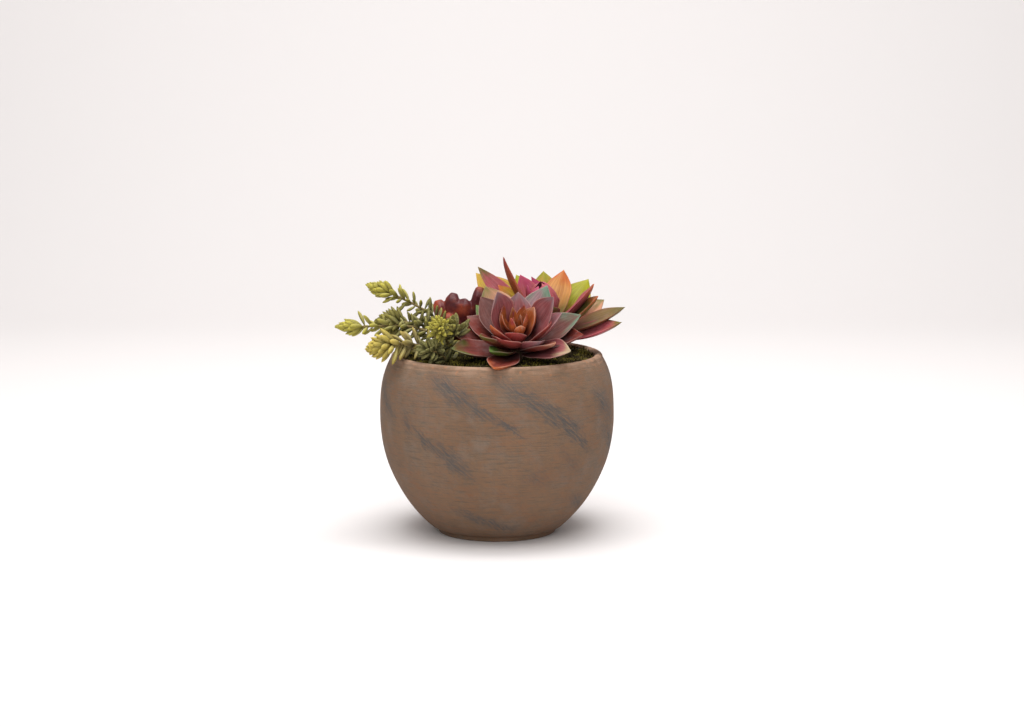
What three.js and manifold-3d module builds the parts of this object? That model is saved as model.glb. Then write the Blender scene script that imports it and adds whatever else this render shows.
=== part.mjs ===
// A potted succulent arrangement: a round earthenware bowl filled with potting mix and topped with moss,
// planted with two leaf rosettes, a small red jelly-bean succulent and a clump of sedum sprigs.
//
// Units are millimetres, +Z is up, and the origin is the centre of the bowl's flat foot.
// -Y is the front of the arrangement and +X its right-hand side.
// Every leaf, stem and layer is a solid of its own, placed where it grows and clear of its neighbours.

import * as THREE from "three";
import { LoftGeometry } from "three/addons/geometries/LoftGeometry.js";
import { mergeVertices } from "three/addons/utils/BufferGeometryUtils.js";
import Module from "manifold-3d";

const wasm = await Module();
wasm.setup();

// ---- Driving dimensions ----

const BOWL_RADIUS = 89.5; // at the widest point
const BOWL_HEIGHT = 138;
const BOWL_WIDEST_AT = 88; // height of the widest point above the foot
const BOWL_WALL = 6.5;
const BOWL_FLOOR = 9;
const FOOT_RADIUS = 45;
const FOOT_HEIGHT = 4;
const LIP_RADIUS = 2.6; // rounding of the rim
const BOWL_SIDES = 40;

// The bowl's side is two quarter superellipses that meet at the widest point.
const BELLY_REACH = 103.5; // the lower one would close this far below the widest point
const BELLY_FULLNESS = 1.88;
const SHOULDER_REACH = 74; // the upper one would close this far above it
const SHOULDER_FULLNESS = 2.95;

const MIX_TOP = 120; // the potting mix stops here and the moss lies on it
const MOSS_TOP = 136; // at the middle, before its humps
const MOSS_FALL = 1.5; // the moss is this much lower at the rim
const GAP = 0.3; // clearance between pieces that touch
const FILL_SIDES = 32;

// ---- Helpers ----

const UP = new THREE.Vector3(0, 0, 1);
const vec = (x, y, z) => new THREE.Vector3(x, y, z);
const degrees = THREE.MathUtils.degToRad;

// A closed geometry as a manifold-3d solid, for cutting and joining.
function toSolid(geometry) {
  const bare = new THREE.BufferGeometry().copy(geometry);
  bare.deleteAttribute("normal");
  bare.deleteAttribute("uv");
  const merged = mergeVertices(bare, 1e-3);
  const mesh = new wasm.Mesh({
    numProp: 3,
    vertProperties: merged.attributes.position.array,
    triVerts: new Uint32Array(merged.index.array),
  });
  return new wasm.Manifold(mesh);
}

// The largest single body of a solid, which is what is left when a cut severs a sliver.
function largestBody(solid) {
  return solid.decompose().reduce((best, body) => (body.volume() > best.volume() ? body : best));
}

function toGeometry(solid) {
  const { vertProperties, triVerts, numProp } = solid.getMesh();
  const geometry = new THREE.BufferGeometry();
  const position = new THREE.InterleavedBufferAttribute(
    new THREE.InterleavedBuffer(vertProperties, numProp),
    3,
    0,
  );
  geometry.setAttribute("position", position);
  geometry.setIndex(new THREE.BufferAttribute(triVerts, 1));
  return geometry;
}

const join = (solids) => solids.reduce((whole, solid) => whole.add(solid));

function material(color, roughness) {
  return new THREE.MeshStandardMaterial({ color, roughness, metalness: 0 });
}

const arrangement = new THREE.Group();

function addNode(name, geometry, look) {
  const mesh = new THREE.Mesh(geometry, look);
  mesh.name = name;
  arrangement.add(mesh);
}

// A solid of revolution about Z from [radius, height] pairs that run up the outside and down the inside.
function turned(profile, sides) {
  const points = profile.map(([radius, height]) => new THREE.Vector2(radius, height));
  return new THREE.LatheGeometry(points, sides).rotateX(Math.PI / 2);
}

// ---- Bowl: one fired earthenware shell with a small foot, a full shoulder and a rounded rim ----

function bowlRadius(height) {
  const below = height < BOWL_WIDEST_AT;
  const reach = below ? BELLY_REACH : SHOULDER_REACH;
  const fullness = below ? BELLY_FULLNESS : SHOULDER_FULLNESS;
  const share = Math.abs(height - BOWL_WIDEST_AT) / reach;
  return BOWL_RADIUS * (1 - share ** fullness) ** (1 / fullness);
}

// Radii at evenly spaced heights, each drawn in by an inset.
function sideProfile(from, to, steps, inset) {
  return Array.from({ length: steps + 1 }, (_, i) => {
    const height = from + ((to - from) * i) / steps;
    return [bowlRadius(height) - inset, height];
  });
}

// grow thickens the wall and the rim all round, for the clearance that the plants are cut with.
function bowlProfile(grow = 0) {
  const lipCentre = BOWL_HEIGHT - LIP_RADIUS;
  const outside = sideProfile(FOOT_HEIGHT + 1, lipCentre, 13, -grow);
  const inside = sideProfile(lipCentre, BOWL_FLOOR + 6, 8, BOWL_WALL + grow);
  const lipMiddle = bowlRadius(lipCentre) - BOWL_WALL / 2;
  const lip = [60, 90, 120].map((angle) => [
    lipMiddle + (BOWL_WALL / 2 + grow) * Math.cos(degrees(angle)),
    lipCentre + (LIP_RADIUS + grow) * Math.sin(degrees(angle)),
  ]);
  const foot = [
    [0, 0],
    [FOOT_RADIUS - 1, 0],
    [FOOT_RADIUS, 1],
    [FOOT_RADIUS, FOOT_HEIGHT],
  ];
  const floor = [
    [bowlRadius(BOWL_FLOOR + 6) - BOWL_WALL - 8, BOWL_FLOOR],
    [0, BOWL_FLOOR],
  ];
  return [...foot, ...outside, ...lip, ...inside, ...floor];
}

addNode("bowl", turned(bowlProfile(), BOWL_SIDES), material(0x7c6453, 0.85));

// ---- Leaves: a blade along a curved spine, hollow above, thin at its edges ----

const BLADE_STATIONS = [0, 0.2, 0.42, 0.64, 0.84, 0.985];
const WIDEST_SHARE = 0.6; // how far along the blade it is widest
const BASE_SHARE = 0.42; // its width where it leaves the stem, as a share of the widest
const SPINE_BEND_SHARE = 0.6; // how far along the leaf its spine is pulled down into a curve

// Half the blade's width, as a share of its greatest half width. A higher point makes a blunter tip.
function bladeOutline(along, point) {
  if (along < WIDEST_SHARE) {
    return BASE_SHARE + (1 - BASE_SHARE) * Math.sin(((Math.PI / 2) * along) / WIDEST_SHARE);
  }
  return Math.cos((Math.PI / 2) * ((along - WIDEST_SHARE) / (1 - WIDEST_SHARE)) ** point);
}

// One section of a blade, as points round it: the upper face is hollow and the lower one is a keel.
function bladeSection(centre, side, normal, halfWidth, thickness, cup) {
  const across = [1, 0.55, 0, -0.55, -1, -0.55, 0, 0.55];
  return across.map((share, i) => {
    const upper = i > 0 && i < 4;
    const lower = i > 4;
    const skin = upper ? 0.35 : lower ? -0.65 : 0;
    const lift = cup * halfWidth * share * share + skin * thickness * (1 - 0.6 * share * share);
    return centre
      .clone()
      .addScaledVector(side, share * halfWidth)
      .addScaledVector(normal, lift);
  });
}

// A leaf's solid. grow swells it all round, for the clearance that its neighbours are cut with.
function leafSolid({ base, bend, tip, side, width, thickness, cup, point }, grow = 0) {
  const spine = new THREE.QuadraticBezierCurve3(base, bend, tip);
  const sections = BLADE_STATIONS.map((along) => {
    const tangent = spine.getTangent(along);
    const normal = tangent.clone().cross(side).normalize();
    const outline = bladeOutline(along, point);
    const halfWidth = Math.max((width / 2) * outline, 0.35) + grow;
    const depth = Math.max(thickness * (0.45 + 0.55 * outline), 0.8) + 2 * grow;
    const flare = cup * (1 - 0.35 * along);
    return bladeSection(spine.getPoint(along), side, normal, halfWidth, depth, flare);
  });
  return toSolid(new LoftGeometry(sections, { capStart: true, capEnd: true }));
}

// ---- Rosettes: leaves set round a leaning stem, low and flat outside, steep and short inside ----

const LOWEST_LEAF = -13; // where along the stem a flat leaf starts, from the rosette's centre
const HIGHEST_LEAF = 2; // where an upright one does
const UPRIGHT_LIFT = 70; // degrees

// A frame for a rosette that leans to the right and to the front by so many degrees.
function leaningFrame(right, front) {
  const axis = vec(Math.sin(degrees(right)), -Math.sin(degrees(front)), 0);
  axis.z = Math.sqrt(1 - axis.x ** 2 - axis.y ** 2);
  const across = vec(1, 0, 0).addScaledVector(axis, -axis.x).normalize();
  return { axis, across, away: axis.clone().cross(across) };
}

// turn goes round the stem from the right-hand side, anticlockwise from above; lift is up from flat.
function direction(frame, turn, lift) {
  return vec(0, 0, 0)
    .addScaledVector(frame.across, Math.cos(degrees(lift)) * Math.cos(degrees(turn)))
    .addScaledVector(frame.away, Math.cos(degrees(lift)) * Math.sin(degrees(turn)))
    .addScaledVector(frame.axis, Math.sin(degrees(lift)));
}

// What leafSolid needs, from one line of a rosette's list: turn, lift, reach, width and roll.
function rosetteLeaf(rosette, [turn, lift, reach, width, roll = 0]) {
  const { centre, frame, curl, stemRadius, thickness, cup, point } = rosette;
  const outward = direction(frame, turn, 0);
  const steepness = THREE.MathUtils.clamp(lift / UPRIGHT_LIFT, 0, 1);
  const base = centre
    .clone()
    .addScaledVector(outward, stemRadius + 2 * GAP)
    .addScaledVector(frame.axis, THREE.MathUtils.lerp(LOWEST_LEAF, HIGHEST_LEAF, steepness));
  const tip = centre.clone().addScaledVector(direction(frame, turn, lift), reach);
  const sagging = direction(frame, turn, lift - curl);
  const bend = centre.clone().addScaledVector(sagging, SPINE_BEND_SHARE * reach);
  const chord = tip.clone().sub(base).normalize();
  const side = frame.axis.clone().cross(outward).applyAxisAngle(chord, degrees(roll));
  return { base, bend, tip, side, width, thickness, cup, point };
}

// The stem, from its pointed root in the potting mix to its crown among the inner leaves.
function rosetteStem({ centre, frame, root, stemRadius }, grow = 0) {
  const radius = stemRadius + grow;
  const profile = [
    [0, -root - grow],
    [radius * 0.5, -root + 3],
    [radius, -root + 14],
    [radius, -2],
    [radius * 0.6, 3.5],
    [0, 5 + grow],
  ];
  const geometry = turned(profile, 12);
  geometry.applyQuaternion(new THREE.Quaternion().setFromUnitVectors(UP, frame.axis));
  return toSolid(geometry.translate(centre.x, centre.y, centre.z));
}

const FRONT_ROSETTE = {
  name: "front_rosette",
  centre: vec(15, -38, 154),
  frame: leaningFrame(0, 28),
  root: 42,
  stemRadius: 5,
  curl: 16,
  thickness: 3.4,
  cup: 0.3,
  point: 1.3,
  // Each leaf: turn, lift, reach from the rosette's centre, width, and roll about its own length.
  leaves: [
    // heart
    [263, 50, 19, 17],
    [155, 70, 30, 17, -20],
    [12, 65, 30, 18, 15],
    // middle
    [167, 71, 43, 23, -35],
    [356, 56, 48, 26, 30],
    [218, 44, 34, 17],
    [88, 30, 39, 23],
    [247, 33, 33, 25],
    [331, 42, 39, 18, 10],
    [131, 22, 45, 24, -10],
    [57, 30, 49, 27],
    // outer
    [304, 29, 38, 18, -12],
    [220, 29, 41, 17, 12],
    [120, 22, 52, 28, -10],
    [313, 24, 46, 19, -10],
    [5, 22, 52, 25, 12],
    [146, 4, 46, 25],
    [239, 18, 40, 16],
    [350, 40, 44, 20, 10],
    [252, 12, 57, 23],
    [346, 14, 53, 26],
    [322, 13, 52, 22, 15],
    [202, 6, 53, 25],
    [168, 1, 52, 25],
    [128, 4, 51, 24],
  ],
};

const BACK_ROSETTE = {
  name: "back_rosette",
  centre: vec(37, 22, 158),
  frame: leaningFrame(-6, 18),
  root: 40,
  stemRadius: 5,
  curl: 14,
  thickness: 3.2,
  cup: 0.26,
  point: 1.3,
  leaves: [
    // heart
    [189, 74, 36, 19],
    [125, 50, 43, 20, -10],
    [107, 49, 39, 20, 10],
    // middle
    [186, 67, 66, 15],
    [240, 60, 34, 20],
    [285, 46, 36, 19],
    [160, 41, 47, 22, -15],
    [64, 34, 49, 25],
    [88, 27, 52, 25],
    [116, 29, 52, 22],
    // outer
    [342, 40, 56, 19],
    [151, 37, 69, 18, -15],
    [47, 17, 56, 30, 8],
    [334, 31, 56, 24, 12],
    [142, 25, 72, 32, -15],
    [35, 0, 58, 27, 12],
    [341, 15, 69, 22, 8],
    [331, 9, 69, 26, 22],
    [108, 6, 54, 24],
    [76, -2, 54, 24],
    [142, 4, 54, 24],
    [310, 22, 42, 20],
  ],
};

// ---- Red succulent: fat blunt leaves crowded on a short stem ----

const RED_SUCCULENT = {
  centre: vec(-30, 36, 151),
  frame: leaningFrame(0, 4),
  root: 36,
  stemRadius: 3.5,
  curl: 18,
  thickness: 8.5,
  cup: 0,
  point: 2.4,
  leaves: [
    [200, 84, 28, 12],
    [180, 56, 27, 12],
    [310, 76, 25, 11],
    [8, 62, 22, 11],
    [350, 64, 37, 12],
    [125, 50, 25, 12],
    [55, 46, 26, 12],
    [240, 42, 21, 11],
  ],
};

// Its leaves and its stem are grown together, so it is one solid.
function redSucculentSolid(grow = 0) {
  const start = RED_SUCCULENT.centre.clone().addScaledVector(UP, -5);
  const leaves = RED_SUCCULENT.leaves.map((spec) => {
    const leaf = rosetteLeaf(RED_SUCCULENT, spec);
    return leafSolid({ ...leaf, base: start }, grow);
  });
  return largestBody(join([rosetteStem(RED_SUCCULENT, grow), ...leaves]));
}

// ---- Sedum sprigs: a thin bending stem, a few loose leaves, and a head of leaves round its end ----

const SPRIG_STEM_RADIUS = 1.4;
const SPRIG_LEAF_LENGTH = 11;
const SPRIG_LEAF_RADIUS = 2.4;
const SPRIG_LEAF_FULLEST = 0.55; // how far along it is thickest
const GOLDEN_TURN = 137.5; // degrees between one leaf and the next
const HEAD_START = 15; // the head's leaves start over this much of the stem's end
const LOOSE_SPLAY = [62, 44]; // degrees from the stem: the first loose leaf and the last
const HEAD_SPLAY = [40, 8];

// A small plump leaf, pointed at both ends, that starts at a point and runs along a direction.
function sprigLeaf(start, along, grow) {
  const profile = [
    [0, -grow],
    [SPRIG_LEAF_RADIUS + grow, SPRIG_LEAF_LENGTH * SPRIG_LEAF_FULLEST],
    [0, SPRIG_LEAF_LENGTH + grow],
  ];
  const geometry = turned(profile, 4);
  geometry.applyQuaternion(new THREE.Quaternion().setFromUnitVectors(UP, along));
  return toSolid(geometry.translate(start.x, start.y, start.z));
}

function stemTube(curve, radius, steps) {
  const circle = new THREE.Shape().absarc(0, 0, radius, 0, 2 * Math.PI);
  const options = { steps, curveSegments: 6, extrudePath: curve, bevelEnabled: false };
  return toSolid(new THREE.ExtrudeGeometry(circle, options));
}

// The sprig's solid: its stem with its leaves, which grow as one piece.
function sprigSolid({ bare, loose, head, route }, grow = 0) {
  const curve = new THREE.CatmullRomCurve3(route.map(([x, y, z]) => vec(x, y, z)));
  const headFrom = 1 - HEAD_START / curve.getLength();
  const solids = [stemTube(curve, SPRIG_STEM_RADIUS + grow, 8)];
  for (let i = 0; i < loose + head; i++) {
    const inHead = i >= loose;
    const share = inHead ? (i - loose) / (head - 1) : i / loose;
    const along = inHead
      ? THREE.MathUtils.lerp(headFrom, 0.99, share)
      : THREE.MathUtils.lerp(bare, headFrom, share);
    const splay = degrees(THREE.MathUtils.lerp(...(inHead ? HEAD_SPLAY : LOOSE_SPLAY), share));
    const heading = curve.getTangentAt(along);
    const sideways = heading.clone().cross(UP).normalize();
    sideways.applyAxisAngle(heading, degrees(GOLDEN_TURN * i));
    const pointing = heading.clone().multiplyScalar(Math.cos(splay));
    pointing.addScaledVector(sideways, Math.sin(splay));
    solids.push(sprigLeaf(curve.getPointAt(along), pointing, grow));
  }
  return largestBody(join(solids));
}

// Each route runs from in the potting mix, up through the moss, to where the last leaves start.
// bare is the share of it without leaves; loose and head count the leaves along it and in its head.
const SPRIGS = {
  sprig_upper_left: {
    bare: 0.4,
    loose: 10,
    head: 9,
    route: [[-36, 6, 106], [-38, 5, 150], [-44, 3, 166], [-58, 2, 171], [-78, 0, 183], [-92, -1, 187]],
  },
  sprig_far_left: {
    bare: 0.42,
    loose: 7,
    head: 9,
    route: [[-40, -12, 106], [-43, -14, 150], [-56, -16, 164], [-82, -18, 161], [-114, -21, 160]],
  },
  sprig_middle_left: {
    bare: 0.4,
    loose: 7,
    head: 10,
    route: [[-40, -2, 106], [-42, -5, 151], [-52, -7, 166], [-70, -10, 165], [-87, -12, 161]],
  },
  sprig_low_left: {
    bare: 0.4,
    loose: 7,
    head: 10,
    route: [[-40, -24, 106], [-46, -27, 143], [-58, -30, 152], [-72, -34, 152], [-89, -39, 146]],
  },
  sprig_facing: {
    bare: 0.5,
    loose: 5,
    head: 11,
    route: [[-34, -20, 106], [-35, -24, 146], [-40, -36, 159], [-44, -52, 164]],
  },
  sprig_beside: {
    bare: 0.5,
    loose: 5,
    head: 10,
    route: [[-26, -14, 106], [-27, -19, 146], [-29, -30, 158], [-32, -45, 163]],
  },
  sprig_low_front: {
    bare: 0.46,
    loose: 6,
    head: 8,
    route: [[-34, -32, 106], [-35, -37, 138], [-41, -44, 147], [-50, -51, 145]],
  },
};

// ---- Growing it: each piece is cut clear of those already placed ----

// What later pieces are cut with: each solid is a little larger than the piece it stands for.
const placed = [toSolid(turned(bowlProfile(GAP), BOWL_SIDES))];
const rooted = []; // those of them that reach down into the potting mix

function clearOf(solid, others) {
  return largestBody(others.reduce((rest, other) => rest.subtract(other), solid));
}

function grow(name, solid, swollen, look) {
  addNode(name, toGeometry(clearOf(solid, placed)), look);
  placed.push(swollen);
}

function growRosette(rosette, leafLook, stemLook) {
  grow(rosette.name + "_stem", rosetteStem(rosette), rosetteStem(rosette, GAP), stemLook);
  rooted.push(rosetteStem(rosette, GAP));
  rosette.leaves.forEach((spec, i) => {
    const leaf = rosetteLeaf(rosette, spec);
    const name = rosette.name + "_leaf_" + String(i + 1).padStart(2, "0");
    grow(name, leafSolid(leaf), leafSolid(leaf, GAP), leafLook);
  });
}

growRosette(FRONT_ROSETTE, material(0x8a5a62, 0.5), material(0x5a4a34, 0.8));
growRosette(BACK_ROSETTE, material(0xa08a4a, 0.5), material(0x5a4a34, 0.8));
grow("red_succulent", redSucculentSolid(), redSucculentSolid(GAP), material(0x7a2f2a, 0.5));
rooted.push(redSucculentSolid(GAP));
for (const [name, sprig] of Object.entries(SPRIGS)) {
  grow(name, sprigSolid(sprig), sprigSolid(sprig, GAP), material(0x8f9a4c, 0.6));
  rooted.push(sprigSolid(sprig, GAP));
}

// ---- Filling: potting mix up to the shoulder, and a layer of moss over it ----

// Low humps over the top of the moss, highest in the middle and none at the rim.
function humped(geometry) {
  const position = geometry.attributes.position;
  for (let i = 0; i < position.count; i++) {
    const [x, y, z] = [position.getX(i), position.getY(i), position.getZ(i)];
    const edge = 1 - Math.hypot(x, y) / bowlRadius(MOSS_TOP);
    if (z > MIX_TOP + 2) {
      position.setZ(i, z + 2.2 * Math.min(1, 3 * edge) * Math.sin(x / 9) * Math.cos(y / 11));
    }
  }
  return geometry;
}

function mossProfile() {
  const rimRadius = bowlRadius(MOSS_TOP - MOSS_FALL) - BOWL_WALL - GAP - 0.4;
  const crown = [1, 0.8, 0.6, 0.4, 0.2, 0].map((share) => [
    rimRadius * share,
    MOSS_TOP - MOSS_FALL * share ** 2,
  ]);
  const bottomRadius = bowlRadius(MIX_TOP) - BOWL_WALL - GAP - 0.4;
  return [[0, MIX_TOP + GAP], [bottomRadius - 1.5, MIX_TOP + GAP], ...crown];
}

function mixProfile() {
  const bottom = BOWL_FLOOR + GAP;
  const side = sideProfile(bottom + 6, MIX_TOP, 6, BOWL_WALL + GAP + 0.4);
  return [[0, bottom], [side[0][0] - 10, bottom], ...side, [0, MIX_TOP]];
}

const mix = clearOf(toSolid(turned(mixProfile(), FILL_SIDES)), rooted);
const moss = clearOf(toSolid(humped(turned(mossProfile(), FILL_SIDES))), placed);
addNode("potting_mix", toGeometry(mix), material(0x3b2a1e, 0.95));
addNode("moss", toGeometry(moss), material(0x5a5a16, 0.95));

export default arrangement;
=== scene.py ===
# A potted succulent arrangement: a brushed clay bowl filled with potting mix and topped with moss, planted
# with a dusky mauve rosette that leans out over the front, a yellow and rose one behind it, a small red
# succulent and a clump of sedum that trails over the left-hand rim.

import math
import random

import bmesh
import bpy
from mathutils import Matrix, Vector, noise


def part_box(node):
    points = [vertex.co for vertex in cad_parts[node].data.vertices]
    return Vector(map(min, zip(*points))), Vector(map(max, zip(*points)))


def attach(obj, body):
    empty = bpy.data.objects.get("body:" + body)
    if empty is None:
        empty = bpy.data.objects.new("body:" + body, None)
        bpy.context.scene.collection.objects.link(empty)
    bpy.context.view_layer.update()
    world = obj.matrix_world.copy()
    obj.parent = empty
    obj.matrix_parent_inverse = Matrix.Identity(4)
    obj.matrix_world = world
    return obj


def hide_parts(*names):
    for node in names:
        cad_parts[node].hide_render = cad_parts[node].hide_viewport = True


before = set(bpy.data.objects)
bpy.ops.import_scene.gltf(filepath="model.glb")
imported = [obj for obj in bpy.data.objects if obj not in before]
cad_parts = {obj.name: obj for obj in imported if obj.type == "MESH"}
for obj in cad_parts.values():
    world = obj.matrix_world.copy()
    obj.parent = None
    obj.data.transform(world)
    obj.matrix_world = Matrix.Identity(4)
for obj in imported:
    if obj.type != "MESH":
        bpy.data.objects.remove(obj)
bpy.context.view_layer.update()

# ---------------------------------------------------------------------------------------------- The bowl
# A wheel-thrown earthenware bowl with a full belly, a short foot and a rounded rim, one wall thick all
# round. It is made by turning its profile about its own axis, and the rim and wall are a little uneven, as
# thrown clay is.

MM = 0.001

bowl_low, bowl_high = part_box("bowl")
BOWL_RADIUS = (bowl_high.x - bowl_low.x) / 2
BOWL_HEIGHT = bowl_high.z
BOWL_WIDEST_AT = 88 * MM
BELLY_REACH, BELLY_FULLNESS = 103.5 * MM, 1.88
SHOULDER_REACH, SHOULDER_FULLNESS = 74 * MM, 2.95
WALL = 6.5 * MM
LIP = 3.2 * MM
FOOT_RADIUS, FOOT_HEIGHT = 45.5 * MM, 4 * MM
FLOOR_RADIUS, FLOOR_HEIGHT = 30 * MM, 9 * MM  # the flat of the floor inside
CORNER_HEIGHT = 16 * MM  # where the inside wall turns in to the floor
THROWING_WAVE, THROWING_DEPTH = 45 * MM, 0.35 * MM
NICK_SPACING, NICK_DEPTH, NICKED_BAND = 5 * MM, 2.2 * MM, 5 * MM
BOWL_TURNS = 180


def bowl_radius(height):
    reach, fullness = (BELLY_REACH, BELLY_FULLNESS) if height < BOWL_WIDEST_AT else (
        SHOULDER_REACH, SHOULDER_FULLNESS)
    share = abs(height - BOWL_WIDEST_AT) / reach
    return BOWL_RADIUS * (1 - share**fullness) ** (1 / fullness)


def turned(profile, steps):
    """A closed shell from (radius, height) pairs that start and end on the axis, spun about Z."""
    mesh = bmesh.new()
    verts = [mesh.verts.new((radius, 0, height)) for radius, height in profile]
    edges = [mesh.edges.new(pair) for pair in zip(verts, verts[1:])]
    bmesh.ops.spin(mesh, geom=verts + edges, cent=(0, 0, 0), axis=(0, 0, 1), angle=math.tau,
                   steps=steps, use_merge=True, use_duplicate=False)
    bmesh.ops.remove_doubles(mesh, verts=mesh.verts, dist=1e-6)
    bmesh.ops.recalc_face_normals(mesh, faces=mesh.faces)
    return mesh


def finish_piece(name, mesh, material, slot, *nodes):
    """Makes the object, smooth-shaded, hands it its material and puts it in its CAD nodes' place."""
    data = bpy.data.meshes.new(name)
    mesh.to_mesh(data)
    mesh.free()
    data.polygons.foreach_set("use_smooth", [True] * len(data.polygons))
    data.materials.append(material)
    piece = bpy.data.objects.new(name, data)
    bpy.context.scene.collection.objects.link(piece)
    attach(piece, "root")
    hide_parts(*nodes)
    return piece


def steps_between(first, last, count):
    return [first + (last - first) * i / (count - 1) for i in range(count)]


lip_centre = BOWL_HEIGHT - LIP
lip_middle = bowl_radius(lip_centre) - WALL / 2
outside = [(bowl_radius(h), h) for h in steps_between(FOOT_HEIGHT + 1.2 * MM, lip_centre, 90)]
lip = [(lip_middle + WALL / 2 * math.cos(a), lip_centre + LIP * math.sin(a))
       for a in steps_between(math.radians(15), math.radians(165), 11)]
inside = [(bowl_radius(h) - WALL, h) for h in steps_between(lip_centre, CORNER_HEIGHT, 30)]
foot = [
    (0, 0),
    (FOOT_RADIUS - 6 * MM, 0),
    (FOOT_RADIUS - 1.6 * MM, 0),
    (FOOT_RADIUS - 0.5 * MM, 0.3 * MM),
    (FOOT_RADIUS, 1.2 * MM),
    (FOOT_RADIUS, FOOT_HEIGHT - 0.8 * MM),
    (FOOT_RADIUS + 0.2 * MM, FOOT_HEIGHT),
    (FOOT_RADIUS + 0.9 * MM, FOOT_HEIGHT + 0.5 * MM),
]
bowl_floor = [(FLOOR_RADIUS, FLOOR_HEIGHT), (0, FLOOR_HEIGHT)]
bowl = turned(foot + outside + lip + inside + bowl_floor, BOWL_TURNS)

for vert in bowl.verts:
    x, y, z = vert.co
    if z < 1 * MM or math.hypot(x, y) < 20 * MM:  # what it stands on stays flat
        continue
    outward = Vector((x, y, 0)).normalized()
    throwing = noise.noise(Vector((x, y, z * 2)) / THROWING_WAVE) * THROWING_DEPTH
    nicks = max(0, noise.noise(vert.co / NICK_SPACING) - 0.42) * NICK_DEPTH
    near_rim = max(0, 1 - abs(z - BOWL_HEIGHT) / NICKED_BAND)
    vert.co += outward * throwing - Vector((0, 0, 1)) * nicks * near_rim


def linear(hex_colour):
    """An sRGB hex colour as the linear RGBA that Blender's sockets take."""
    channels = [int(hex_colour[i:i + 2], 16) / 255 for i in (1, 3, 5)]
    return [c / 12.92 if c <= 0.04045 else ((c + 0.055) / 1.055) ** 2.4 for c in channels] + [1]


def add(tree, kind, inputs=None, **settings):
    """Adds a node. inputs maps socket names or numbers to values or to the sockets that feed them."""
    node = tree.nodes.new("ShaderNode" + kind)
    for name, value in settings.items():
        setattr(node, name, value)
    for socket, source in (inputs or {}).items():
        if isinstance(source, bpy.types.NodeSocket):
            tree.links.new(source, node.inputs[socket])
        else:
            node.inputs[socket].default_value = source
    return node


def blend(tree, share, under, over, **settings):
    """Mixes two colours, each a hex colour or the socket it comes from. Gives the socket of the result."""
    under, over = (linear(c) if isinstance(c, str) else c for c in (under, over))
    mixed = add(tree, "Mix", {0: share, 6: under, 7: over}, data_type="RGBA", **settings)
    return mixed.outputs[2]


def new_material(name):
    material = bpy.data.materials.new(name)
    material.use_nodes = True
    tree = material.node_tree
    return material, tree, tree.nodes["Principled BSDF"]


# Low-fired earthenware under a brushed slip: matt, with fine level brush lines, slanting smears of
# slate-grey slip that the brush left half dry, and a rim rubbed back to the paler, pinker clay.
CLAY, CLAY_DARK, CLAY_GREY, CLAY_RED = "#846c55", "#624b39", "#74675a", "#7d543c"
SLATE, RUBBED, CHIP, PIT = "#4c4a48", "#a08069", "#a56b45", "#4a382c"
LINE_SHADOW, WEAVE_SHADOW, DRY_GRAIN = "#54463a", "#66584a", "#594f46"

brushed_clay, tree, shader = new_material("brushed_slip_earthenware")
place = add(tree, "TexCoord").outputs["Object"]

clouds = add(tree, "TexNoise", {"Vector": place, "Scale": 1 / (40 * MM), "Detail": 5, "Roughness": 0.6})
clay = blend(tree, clouds.outputs["Fac"], CLAY_DARK, CLAY)
patches = add(tree, "TexNoise", {"Vector": place, "Scale": 1 / (22 * MM), "Detail": 6, "Roughness": 0.7})
patch_edge = add(tree, "MapRange", {0: patches.outputs["Fac"], 1: 0.48, 2: 0.68})
clay = blend(tree, patch_edge.outputs[0], clay, CLAY_GREY)

# Brush lines run level round the bowl: the noise is long in X and Y and only about 1 mm high.
level = add(tree, "Mapping", {0: place, 3: (34, 34, 430)})
lines = add(tree, "TexNoise", {"Vector": level.outputs[0], "Scale": 2.2, "Detail": 6, "Roughness": 0.72})
line_depth = add(tree, "MapRange", {0: lines.outputs["Fac"], 1: 0.40, 2: 0.62})
streak_patches = add(tree, "TexNoise", {"Vector": place, "Scale": 1 / (30 * MM), "Detail": 3})
streak_share = add(tree, "Math", {0: line_depth.outputs[0], 1: streak_patches.outputs["Fac"]},
                   operation="MULTIPLY")
clay = blend(tree, streak_share.outputs[0], clay, CLAY_RED)
# The grooves of the brush lines are darkened with painted shade.
line_groove_shade = add(tree, "MapRange", {0: lines.outputs["Fac"], 1: 0.52, 2: 0.36, 3: 0, 4: 0.6})
clay = blend(tree, line_groove_shade.outputs[0], clay, LINE_SHADOW)

# A second, fainter set of strokes crosses them upright, like the weave of a cloth pressed on the clay,
# drawn only as painted shade in its hollows.
upright = add(tree, "Mapping", {0: place, 3: (520, 520, 26)})
weave = add(tree, "TexNoise", {"Vector": upright.outputs[0], "Scale": 1, "Detail": 3, "Roughness": 0.6})
weave_shade_share = add(tree, "MapRange", {0: weave.outputs["Fac"], 1: 0.5, 2: 0.68, 3: 0, 4: 0.4})
clay = blend(tree, weave_shade_share.outputs[0], clay, WEAVE_SHADOW)

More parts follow.
